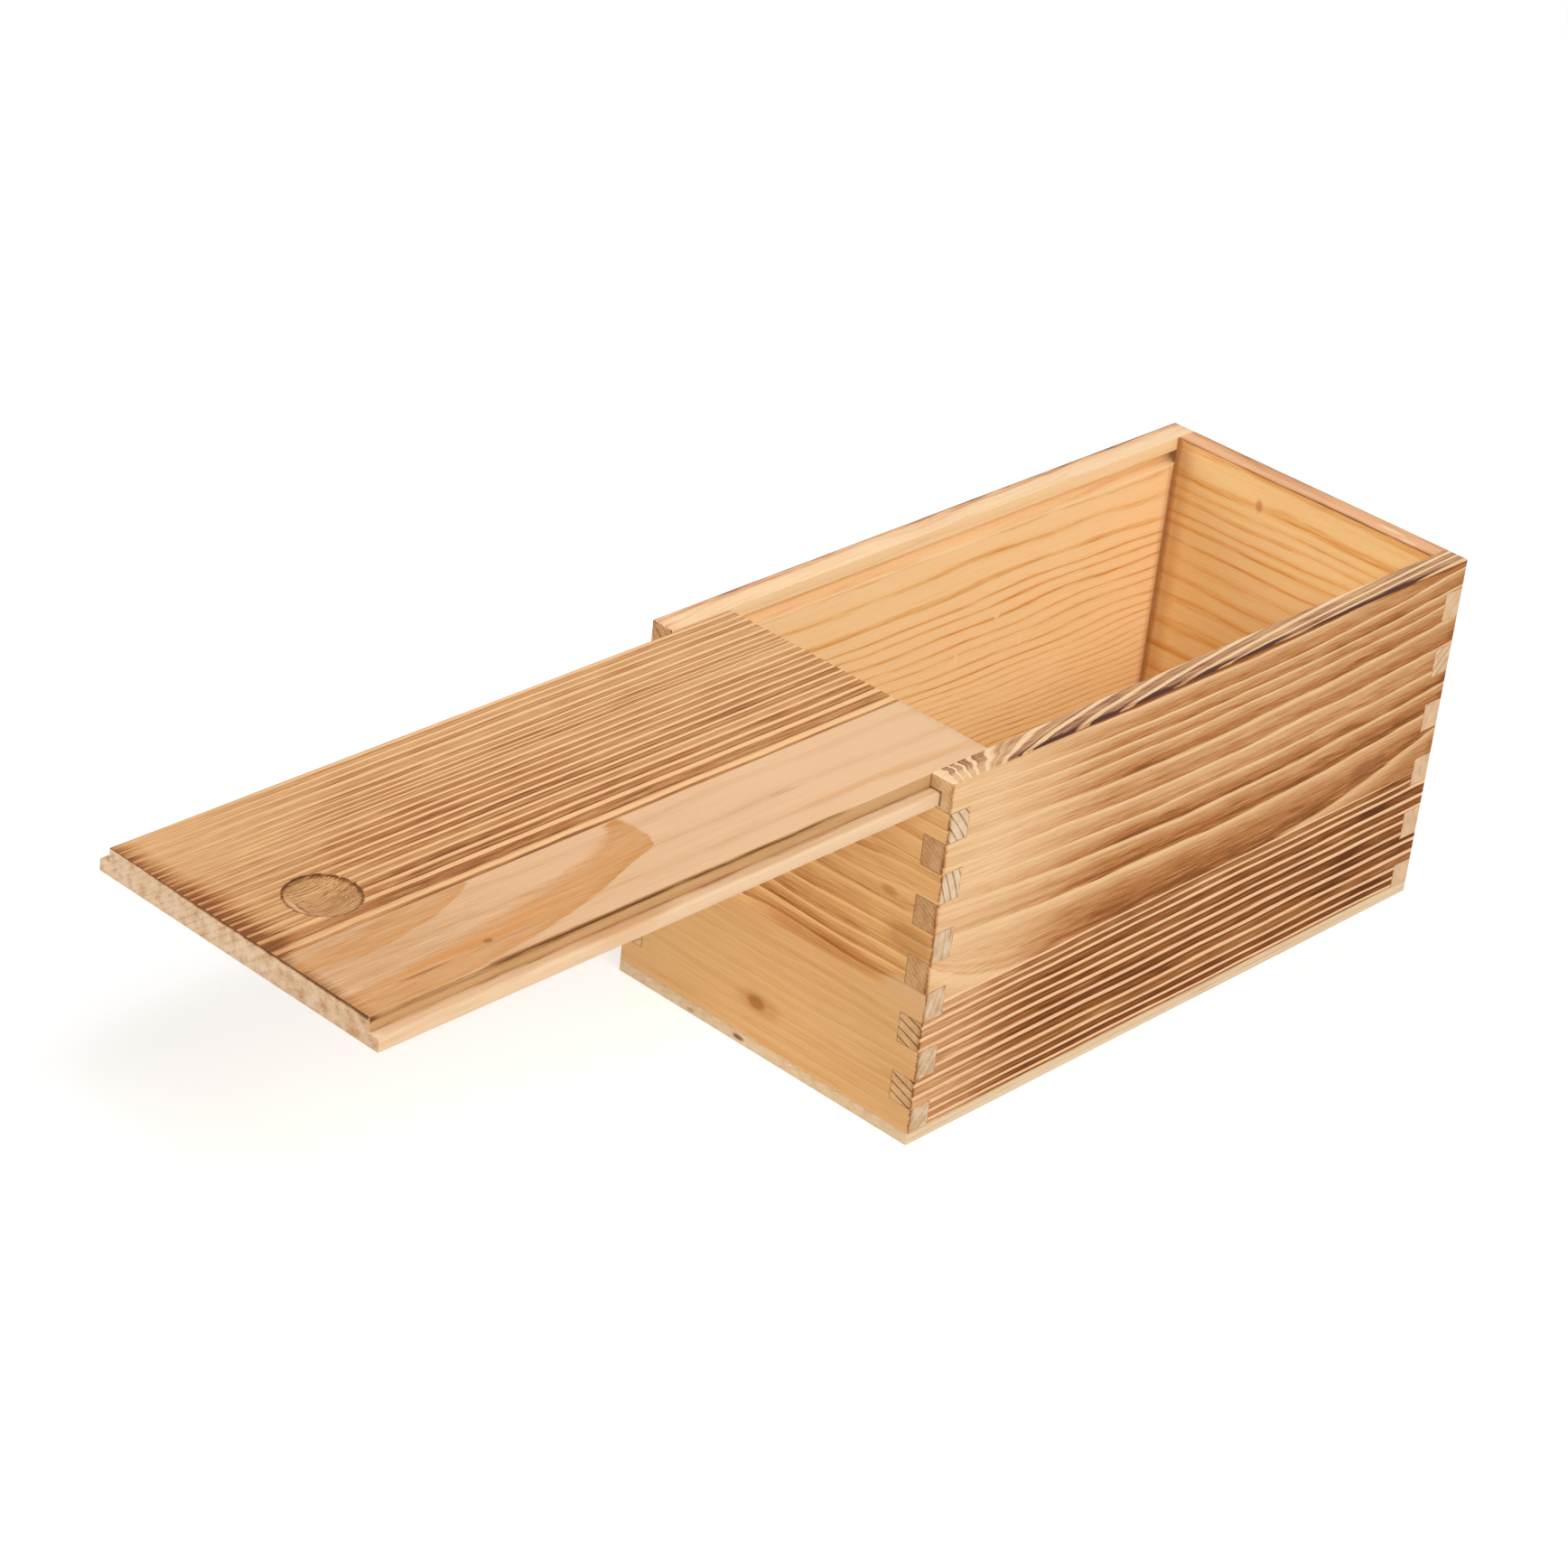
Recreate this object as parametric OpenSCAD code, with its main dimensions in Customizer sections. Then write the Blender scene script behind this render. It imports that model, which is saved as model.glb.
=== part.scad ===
// Sliding lid wooden box: four finger-jointed walls on a planted bottom board,
// with a rebated lid that runs in grooves under the rims of the two side walls.
// Millimetres, +Z up, origin at the centre of the underside, the lid pulls out towards -Y.

/* [Box] */
// Outer length, from the front face to the back face
box_l = 200; // [120:1:320]
// Outer width, from side wall to side wall
box_w = 99.5; // [70:0.5:180]
// Outer height, from the underside to the rim
box_h = 100.5; // [60:0.5:160]
// Thickness of the four wall boards
wall_t = 7; // [6:0.25:10]
// Thickness of the bottom board
bottom_t = 3.5; // [3:0.25:6]

/* [Finger joints] */
// Height of one finger
finger_h = 8.2; // [7:0.1:12]
// Glue line between two fingers
glue_gap = 0.06; // [0.04:0.01:0.2]

/* [Lid grooves] */
// Height of the rim left above a groove
rim_h = 3.7; // [2:0.1:5]
// Height of a groove
groove_h = 4.1; // [3:0.1:6]
// Depth of a groove into its side wall
groove_d = 3.5; // [2:0.1:4]
// How far the front wall's top lies below the floor of the grooves
front_step = 0.4; // [0.2:0.1:1]

/* [Lid] */
// Rise of the raised field above the tongues
field_rise = 3.8; // [2:0.1:5]
// Play between the raised field and each rim
side_play = 0.25; // [0.1:0.05:0.6]
// Play between each tongue's edge and the bottom of its groove
tongue_play = 0.6; // [0.2:0.1:1]
// Play under the lid, above the floor of the grooves
floor_play = 0.1; // [0.05:0.05:0.3]
// Play above each tongue, below the top of its groove
top_play = 0.5; // [0.2:0.1:1]
// Gap left behind the lid when it is shut
end_gap = 0.3; // [0.1:0.1:1]
// Rounding of a tongue's upper edge
tongue_round = 0.9; // [0.2:0.1:1.5]
// Rounding of the raised field's long edges
field_round = 0.4; // [0.1:0.1:1]
// Length of the lid that is still in the grooves where it is drawn
lid_hold = 20; // [5:1:60]

/* [Finger recess] */
// Diameter of the scooped recess
recess_d = 18; // [12:0.5:26]
// Depth of the scooped recess
recess_depth = 2.2; // [1:0.1:3]
// From the lid's front edge to the recess's centre
recess_inset = 24; // [16:1:50]

/* [Brads] */
// Diameter of a brad's shank
brad_d = 1.2; // [0.8:0.1:1.6]
// Diameter of a brad's head
brad_head_d = 2; // [1.6:0.1:2.6]
// Thickness of a brad's head
brad_head_t = 0.4; // [0.3:0.1:0.8]
// Length of a brad below its head
brad_l = 12; // [8:1:16]
// Depth of a head below the underside
brad_sink = 0.3; // [0.1:0.1:0.6]
// Clearance round a brad
brad_clear = 0.05; // [0.03:0.01:0.1]
// Widest spacing between two brads
brad_pitch = 80; // [40:5:120]
// From a corner of the box to its nearest brad
brad_corner = 28; // [20:1:34]

/* [Hidden] */

// Wood as the torch left it outside, and as it is where it was never scorched
toasted = "#c99a64";
honey = "#cf9f63";
cream = "#dcbf95";
steel = "#a9a9a6";

cut = 1;                                  // how far a cut runs past the wood
round_fn = 48;                            // steps of the small round forms
scoop_fn = 120;                           // steps of the finger recess

in_w = box_w - 2 * wall_t;                // width between the side walls
groove_top = box_h - rim_h;
groove_floor = groove_top - groove_h;
front_top = groove_floor - front_step;    // top of the front wall

field_w = in_w - 2 * side_play;
tongue_w = in_w + 2 * (groove_d - tongue_play);
tongue_h = groove_h - floor_play - top_play;
lid_t = tongue_h + field_rise;
lid_l = box_l - wall_t - end_gap;
lid_z = groove_floor + floor_play;
lid_back = -box_l / 2 + lid_hold;         // the lid's inner end, where it is drawn
scoop_r = (pow(recess_d / 2, 2) + pow(recess_depth, 2)) / (2 * recess_depth);

// Rows of fingers run down from the rim: even rows belong to the side walls, odd
// rows to the front and back walls. The first row is as high as the lid's way out
// over the front wall, and the lowest row ends on the bottom board.
shortest_row = 0.25;                      // of a finger, or else it joins the row above
rows = 1 + ceil((front_top - bottom_t) / finger_h - shortest_row);
function row_top(k) = k == 0 ? box_h : front_top - (k - 1) * finger_h;
function row_low(k) = k == rows - 1 ? bottom_t : row_top(k + 1);

// Brads stand on the centre lines of the walls.
brad_line_x = box_w / 2 - wall_t / 2;
brad_line_y = box_l / 2 - wall_t / 2;
function spread(reach) = let (n = ceil(2 * reach / brad_pitch))
    [for (k = [0:n]) -reach + 2 * reach * k / n];
brad_places = concat(
    [for (side = [-1, 1], y = spread(box_l / 2 - brad_corner)) [side * brad_line_x, y]],
    [for (side = [-1, 1], x = spread(box_w / 2 - brad_corner)) [x, side * brad_line_y]]);

// The room that the other board's fingers take in rows FIRST, FIRST + 2 and so on,
// at the end of a board that lies at the origin and runs towards +X.
module finger_room(first) {
    for (k = [first:2:rows - 1]) {
        low = row_low(k) - (k == rows - 1 ? cut : glue_gap / 2);
        top = row_top(k) + (k == 0 ? cut : glue_gap / 2);
        translate([-cut, -cut, low])
            cube([cut + wall_t + glue_gap, wall_t + 2 * cut, top - low]);
    }
}

module brad_holes() {
    for (p = brad_places)
        translate([p[0], p[1], -cut]) {
            cylinder(h = cut + brad_sink + brad_head_t + brad_l + brad_clear,
                     d = brad_d + 2 * brad_clear, $fn = round_fn);
            cylinder(h = cut + brad_sink + brad_head_t + brad_clear,
                     d = brad_head_d + 2 * brad_clear, $fn = round_fn);
        }
}

// A board across the box, with its outer face at Y = 0 and fingers in the odd rows.
module cross_wall(top) {
    difference() {
        translate([-box_w / 2, 0, bottom_t])
            cube([box_w, wall_t, top - bottom_t]);
        for (side = [0, 1])
            mirror([side, 0, 0])
                translate([-box_w / 2, 0, 0])
                    finger_room(0);
    }
}

module front_wall() {
    color(toasted) difference() {
        translate([0, -box_l / 2, 0]) cross_wall(front_top);
        brad_holes();
    }
}

module back_wall() {
    color(honey) difference() {
        mirror([0, 1, 0]) translate([0, -box_l / 2, 0]) cross_wall(box_h);
        brad_holes();
    }
}

// The right-hand board: fingers in the even rows and the lid's groove along its inside.
module side_wall() {
    difference() {
        translate([box_w / 2 - wall_t, -box_l / 2, bottom_t])
            cube([wall_t, box_l, box_h - bottom_t]);
        for (end = [0, 1])
            mirror([0, end, 0])
                translate([box_w / 2, -box_l / 2, 0])
                    rotate([0, 0, 90])
                        finger_room(1);
        translate([in_w / 2 - cut, -box_l / 2 - cut, groove_floor])
            cube([cut + groove_d, box_l + 2 * cut, groove_h]);
        brad_holes();
    }
}

module right_wall() {
    color(toasted) side_wall();
}

module left_wall() {
    color(honey) mirror([1, 0, 0]) side_wall();
}

module bottom_board() {
    color(cream) difference() {
        translate([-box_w / 2, -box_l / 2, 0])
            cube([box_w, box_l, bottom_t]);
        brad_holes();
    }
}

module bottom_brads() {
    color(steel) for (p = brad_places)
        translate([p[0], p[1], brad_sink]) {
            cylinder(h = brad_head_t, d = brad_head_d, $fn = round_fn);
            cylinder(h = brad_head_t + brad_l, d = brad_d, $fn = round_fn);
        }
}

// A bar W wide and H high on the X axis, its two upper edges rounded by R.
module soft_bar(w, h, r) {
    translate([-w / 2, 0]) square([w, h - r]);
    translate([-w / 2 + r, 0]) square([w - 2 * r, h]);
    for (side = [-1, 1])
        translate([side * (w / 2 - r), h - r]) circle(r = r, $fn = round_fn);
}

// The lid's cross-section: a raised field between two tongues.
module lid_section() {
    soft_bar(tongue_w, tongue_h, tongue_round);
    soft_bar(field_w, lid_t, field_round);
}

module lid() {
    color(toasted) translate([0, lid_back, lid_z]) difference() {
        rotate([90, 0, 0]) linear_extrude(height = lid_l) lid_section();
        translate([0, recess_inset - lid_l, lid_t + scoop_r - recess_depth])
            sphere(r = scoop_r, $fn = scoop_fn);
    }
}

front_wall();
back_wall();
left_wall();
right_wall();
bottom_board();
bottom_brads();
lid();
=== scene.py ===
from math import cos, pi, radians, sin
from types import SimpleNamespace

import bmesh
import bpy
import numpy as np
from mathutils import Matrix, Vector


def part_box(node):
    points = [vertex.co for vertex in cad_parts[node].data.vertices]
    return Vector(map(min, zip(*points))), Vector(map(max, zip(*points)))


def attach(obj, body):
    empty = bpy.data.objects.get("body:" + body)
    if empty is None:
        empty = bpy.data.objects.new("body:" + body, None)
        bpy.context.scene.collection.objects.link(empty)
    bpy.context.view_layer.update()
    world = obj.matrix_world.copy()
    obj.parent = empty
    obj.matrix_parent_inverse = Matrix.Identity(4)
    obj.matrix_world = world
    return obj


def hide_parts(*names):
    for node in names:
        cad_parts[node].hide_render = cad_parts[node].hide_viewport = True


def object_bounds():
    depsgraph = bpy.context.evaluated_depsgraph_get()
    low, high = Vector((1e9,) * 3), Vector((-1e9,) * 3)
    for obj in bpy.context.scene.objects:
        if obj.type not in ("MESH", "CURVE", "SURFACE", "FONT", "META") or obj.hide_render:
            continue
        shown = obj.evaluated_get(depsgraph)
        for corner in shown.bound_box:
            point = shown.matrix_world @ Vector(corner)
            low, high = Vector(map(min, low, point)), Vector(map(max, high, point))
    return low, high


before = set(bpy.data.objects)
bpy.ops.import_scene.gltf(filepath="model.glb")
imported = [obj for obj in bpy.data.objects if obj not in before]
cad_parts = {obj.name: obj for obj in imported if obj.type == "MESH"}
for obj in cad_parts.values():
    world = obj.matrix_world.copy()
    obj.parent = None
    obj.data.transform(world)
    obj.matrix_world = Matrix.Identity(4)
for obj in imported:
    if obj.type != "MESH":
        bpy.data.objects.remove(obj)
cad_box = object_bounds()


# ---- Front wall ----
# The short wall that the lid passes over: a planed pine board, edge-glued from two staves, with
# fingers cut on a box-joint jig and glued into both side walls. It was torched and brushed after
# the glue-up, so its outside is a honey brown and its inside is raw wood.

mm = 0.001
RUN_X, RUN_Y, UP = 0, 1, 2
wall_low, wall_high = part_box("front_wall")
box_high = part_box("right_wall")[1]
box_low = Vector((cad_box[0].x, wall_low.y, cad_box[0].z))
half_width = box_high.x / mm
half_length = box_high.y / mm
rim_top = box_high.z
front_top = wall_high.z
board_foot = wall_low.z
board_thick = wall_high.y - wall_low.y
finger_rows = 12
finger_height = rim_top - front_top
row_levels = [rim_top - n * finger_height for n in range(1, finger_rows)]
arris_margin = 0.6 * mm
arris_round = 0.45 * mm
seam_width = 0.1 * mm
same = 0.01 * mm
# A face whose middle lies beyond these, in millimetres, is on the outside of the box.
outside = 0.65
outer_x = half_width - outside
outer_y = half_length - outside


def select(kind, test):
    """In edit mode, selects the faces, edges or vertices that pass a test, and nothing else."""
    bpy.ops.mesh.select_mode(type=kind)
    bpy.ops.mesh.select_all(action="DESELECT")
    shape = bmesh.from_edit_mesh(bpy.context.object.data)
    for part in {"FACE": shape.faces, "EDGE": shape.edges, "VERT": shape.verts}[kind]:
        if test(part):
            part.select_set(True)
    shape.select_flush_mode()
    bmesh.update_edit_mesh(bpy.context.object.data)


def cut(axis, place):
    """Cuts the whole piece, in edit mode, by a plane square to an axis."""
    point, square = Vector(), Vector()
    point[axis], square[axis] = place, 1
    bpy.ops.mesh.select_all(action="SELECT")
    bpy.ops.mesh.bisect(plane_co=point, plane_no=square)


def cut_finely(axis, step):
    """Divides every edge that runs along an axis into lengths of about a step, in edit mode."""
    def pieces_of(edge):
        run = edge.verts[1].co - edge.verts[0].co
        return round(abs(run[axis]) / step) if abs(run[axis]) > run.length - same else 1

    shape = bmesh.from_edit_mesh(bpy.context.object.data)
    counts = sorted({pieces_of(edge) for edge in shape.edges} - {0, 1})
    for count in counts:
        select("EDGE", lambda edge: pieces_of(edge) == count)
        bpy.ops.mesh.subdivide(number_cuts=count - 1)


def pull(value):
    """Extrudes the selected faces by a vector, in edit mode."""
    bpy.ops.mesh.extrude_region_move(TRANSFORM_OT_translate={"value": value})


def apply(piece, name, kind, **settings):
    """Puts a modifier on a piece and applies it."""
    modifier = piece.modifiers.new(name, kind)
    for key, value in settings.items():
        setattr(modifier, key, value)
    bpy.context.view_layer.objects.active = piece
    bpy.ops.object.modifier_apply(modifier=name)


def start_board(name, low, high, along):
    """Stands a board's cross-section at its low end, as one flat face, and enters edit mode."""
    bpy.ops.object.select_all(action="DESELECT")
    middle = (low + high) / 2
    middle[along] = low[along]
    turn = (pi / 2, 0, pi / 2) if along == RUN_X else (pi / 2, 0, 0)
    bpy.ops.mesh.primitive_plane_add(size=1, location=middle, rotation=turn)
    piece = bpy.context.object
    piece.name = name
    piece.data.name = name
    piece.scale = (high[1 - along] - low[1 - along], high.z - low.z, 1)
    bpy.ops.object.transform_apply(location=True, rotation=True, scale=True)
    bpy.ops.object.mode_set(mode="EDIT")
    return piece


def on_arris(edge):
    """Tells whether an edge is one of the shut box's outside corners."""
    a, b = edge.verts[0].co, edge.verts[1].co
    faces = 0
    for axis in (RUN_X, RUN_Y, UP):
        for place in (box_low[axis], box_high[axis]):
            faces += abs(a[axis] - place) < same and abs(b[axis] - place) < same
    return faces > 1


def finish_board(piece, steps):
    """Rounds the outside corners, divides the board for its grain, and eases its sharp edges.
    The eased edges' faces are left with slot 0, the glue line, and all others with slot 1."""
    bpy.ops.mesh.select_all(action="SELECT")
    bpy.ops.mesh.normals_make_consistent(inside=False)
    select("EDGE", on_arris)
    bpy.ops.mesh.bevel(offset=arris_round, segments=3, affect="EDGES")
    for axis, step in zip((RUN_X, RUN_Y, UP), steps):
        cut_finely(axis, step)
    bpy.ops.object.mode_set(mode="OBJECT")
    piece.data.materials.append(glue_line)
    piece.data.polygons.foreach_set("material_index", np.ones(len(piece.data.polygons), np.int32))
    apply(piece, "seams", "BEVEL", width=seam_width, segments=1, angle_limit=radians(50), material=0)


brad_corner = 28
brad_inset = board_thick / 2 / mm
brad_reach_x = half_width - brad_corner
brad_reach_y = half_length - brad_corner
brad_places = [(side * (half_width - brad_inset), y)
               for side in (-1, 1) for y in (-brad_reach_y, 0, brad_reach_y)]
brad_places += [(x, side * (half_length - brad_inset))
                for side in (-1, 1) for x in (-brad_reach_x, brad_reach_x)]
shank_hole = (0.65 * mm, 12.75 * mm)


def drill(piece, radius, height):
    """Bores the ten brad holes into a piece, from below the box up to a height."""
    pins = []
    below = 1 * mm
    for x, y in brad_places:
        bpy.ops.mesh.primitive_cylinder_add(vertices=24, radius=radius, depth=height + below,
                                            location=(x * mm, y * mm, (height - below) / 2))
        pins.append(bpy.context.object)
    for pin in pins:
        pin.select_set(True)
    bpy.ops.object.join()
    bit = bpy.context.object
    apply(piece, "brad_holes", "BOOLEAN", operation="DIFFERENCE", object=bit, solver="EXACT")
    bpy.data.objects.remove(bit)


def finger_board(name, wall, along, first_row, groove=None):
    """Models a wall: its section, drawn out along its length, with every other row a finger."""
    low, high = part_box(wall)
    shoulder_low, shoulder_high = low.copy(), high.copy()
    shoulder_low[along] += board_thick
    shoulder_high[along] -= board_thick
    piece = start_board(name, shoulder_low, high, along)
    for level in row_levels:
        cut(UP, level)
    across = 1 - along
    for place in (low[across] + arris_margin, high[across] - arris_margin):
        cut(across, place)
    cut(UP, rim_top - arris_margin)
    if groove:
        groove(low, high)
    run = Vector()
    run[along] = shoulder_high[along] - shoulder_low[along]
    bpy.ops.mesh.select_all(action="SELECT")
    pull(run)

    def in_finger(face):
        row = int((rim_top - face.calc_center_median().z) / finger_height)
        return row % 2 == first_row

    for place, way in ((shoulder_low[along], -1), (shoulder_high[along], 1)):
        select("FACE", lambda face: abs(face.normal[along]) > 0.9
               and abs(face.calc_center_median()[along] - place) < same and in_finger(face))
        for length in (board_thick - arris_margin, arris_margin):
            reach = Vector()
            reach[along] = way * length
            pull(reach)
    # The divisions carry the rings, so they are closest upwards.
    fine = [1.07 * mm] * 3
    fine[along] = 4 * mm
    fine[UP] = finger_height / 20
    finish_board(piece, fine)
    drill(piece, *shank_hole)
    return piece


def corners(piece):
    """The places of a piece's vertices in millimetres, as three columns."""
    places = np.empty(len(piece.data.vertices) * 3)
    piece.data.vertices.foreach_get("co", places)
    return places.reshape(-1, 3) / mm


def keep(piece, **columns):
    """Stores numbers, one per vertex or one for all, for the piece's materials."""
    for name, values in columns.items():
        layer = piece.data.attributes.new(name, "FLOAT", "POINT")
        values = np.broadcast_to(values, len(piece.data.vertices))
        layer.data.foreach_set("value", values.astype(np.float32))


def fade(values, start, end):
    """0 before start, 1 after end, and a smooth rise between them."""
    part = np.clip((values - start) / (end - start), 0, 1)
    return part * part * (3 - 2 * part)


def ring_number(ridges, run, height, tilt=0.0, depth=0.0, wave=0.2):
    """The growth rings as a number that rises by one from each latewood ridge to the next.
    A ridge is its height at the middle, at the low end and at the high end of the board, and
    the powers by which it bends there, where they aren't 2."""
    level = height - tilt * depth
    level = level + wave * np.sin(run / 17 + level / 9) + 0.6 * wave * np.sin(run / 7.3 + level / 4)
    reach = run / half_length
    curves = [
        mid + np.where(reach < 0, low - mid, high - mid)
        * np.abs(reach) ** np.where(reach < 0, *(powers or (2, 2)))
        for mid, low, high, *powers in ridges
    ]
    return sum(np.clip((level - a) / (b - a), 0, 1) for a, b in zip(curves, curves[1:]))


def straight(heights, fan=0.0):
    """Ridges for ring_number that run straight, or open slightly towards the high end."""
    centre = sum(heights) / len(heights)
    return [(h, h - fan * (h - centre), h + fan * (h - centre)) for h in heights]


def press_grain(piece, rings, profile, depth, where, side):
    """Brushes the soft wood between the ridges back by up to a depth, where a mask allows.
    The side is the axis that the face looks along, and which way."""
    phase = np.mod(rings, 1)
    soft = np.interp(phase, *zip(*profile)) * where
    group = piece.vertex_groups.new(name="soft")
    steps = 40
    for level in range(1, steps + 1):
        chosen = np.flatnonzero(np.round(soft * steps) == level)
        if len(chosen):
            group.add(chosen.tolist(), level / steps, "REPLACE")
    axis, way = side
    apply(piece, "brushing", "DISPLACE", strength=-way * depth, mid_level=0,
          direction="XYZ"[axis], space="LOCAL", vertex_group="soft")
    piece.vertex_groups.clear()


def smooth(piece):
    """Shades the piece smooth, apart from its sharp edges."""
    bpy.ops.object.select_all(action="DESELECT")
    piece.select_set(True)
    bpy.context.view_layer.objects.active = piece
    bpy.ops.object.shade_smooth_by_angle(angle=radians(40))


def dress(piece, materials, choose):
    """Puts the materials on a piece. choose gives each face's slot from where the face is, which
    way it looks, and whether easing an edge made it."""
    count = len(piece.data.polygons)
    middles, normals, kept = np.empty(count * 3), np.empty(count * 3), np.empty(count, np.int32)
    piece.data.polygons.foreach_get("center", middles)
    piece.data.polygons.foreach_get("normal", normals)
    piece.data.polygons.foreach_get("material_index", kept)
    x, y, z = (middles.reshape(-1, 3) / mm).T
    nx, ny, nz = normals.reshape(-1, 3).T
    slots = choose(SimpleNamespace(x=x, y=y, z=z, nx=nx, ny=ny, nz=nz, eased=kept == 0))
    piece.data.materials.clear()
    for material in materials:
        piece.data.materials.append(material)
    piece.data.polygons.foreach_set("material_index", slots.astype(np.int32))
    piece.data.update()


def seam(face, along, end):
    """The eased edges where a wall meets another board, and a thin dark glue line shows."""
    close = 0.3
    near_end = np.abs(along) > end - board_thick / mm - close - seam_width / mm
    at_foot = face.z < board_foot / mm + close
    return face.eased & (near_end | at_foot) & (face.z < front_top / mm + close)


def linear(hex_colour):
    """An sRGB colour such as #c8a070 as the linear values that Blender's sockets take."""
    parts = [int(hex_colour[n:n + 2], 16) / 255 for n in (1, 3, 5)]
    return (*(p / 12.92 if p <= 0.04045 else ((p + 0.055) / 1.055) ** 2.4 for p in parts), 1)


def node(tree, kind, inputs=(), **settings):
    """Adds a shader node with its settings; each input is a value or another node's output."""
    made = tree.nodes.new("ShaderNode" + kind)
    for key, value in settings.items():
        setattr(made, key, value)
    for key, value in dict(inputs).items():
        if isinstance(value, bpy.types.NodeSocket):
            tree.links.new(value, made.inputs[key])
        else:
            made.inputs[key].default_value = value
    return made.outputs


def fill_ramp(tree, stops):
    """Sets the newest node's colour ramp from (place, grey or colour) stops."""
    ramp = tree.nodes[-1].color_ramp
    for place, tone in stops[1:-1]:
        ramp.elements.new(place)
    for element, (place, tone) in zip(ramp.elements, stops):
        element.position = place
        element.color = linear(tone) if isinstance(tone, str) else (tone, tone, tone, 1)


def start_material(name):
    """Starts a material and returns it, its empty tree and the place on the piece."""
    material = bpy.data.materials.new(name)
    material.use_nodes = True
    material.node_tree.nodes.clear()
    return material, material.node_tree, node(material.node_tree, "TexCoord")["Object"]


def finish_wood(tree, colour, height, depth):
    """Bare wood's shader: rough, with hardly any gloss, and a fine relief."""
    bump = node(tree, "Bump", {"Height": height, "Strength": 0.5, "Distance": depth})[0]
    shader = node(tree, "BsdfPrincipled", {"Base Color": colour, "Roughness": 0.7, "IOR": 1.5,
                                           "Specular IOR Level": 0.14, "Normal": bump})[0]
    node(tree, "OutputMaterial", {"Surface": shader})


def stain(tree, place, colour, ragged, middle, reach, tone, strength):
    """Mixes an oval mark such as a knot, a nick or a burn into the colour, with a ragged edge.
    Its middle and its reach along each axis are in millimetres."""
    scale = [1 / (r * mm) for r in reach]
    shift = [-m / r for m, r in zip(middle, reach)]
    oval = node(tree, "Mapping", {"Vector": place, "Location": shift, "Scale": scale})[0]
    away = node(tree, "VectorMath", {0: oval}, operation="LENGTH")["Value"]
    away = node(tree, "Math", {0: ragged, 1: 1.0, 2: away}, operation="MULTIPLY_ADD")[0]
    amount = node(tree, "MapRange", {"Value": away, 1: 0.8, 2: 1.5, 3: strength, 4: 0.0})[0]
    return node(tree, "Mix", {0: amount, 6: colour, 7: linear(tone)}, data_type="RGBA")[2]


def vary(tree, value, noise, low, high, operation="ADD"):
    """Adds a noise to a value, or multiplies it in, spread between two numbers."""
    swing = node(tree, "MapRange", {"Value": noise, 1: 0.3, 2: 0.7, 3: low, 4: high})[0]
    return node(tree, "Math", {0: value, 1: swing}, operation=operation)[0]


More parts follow.
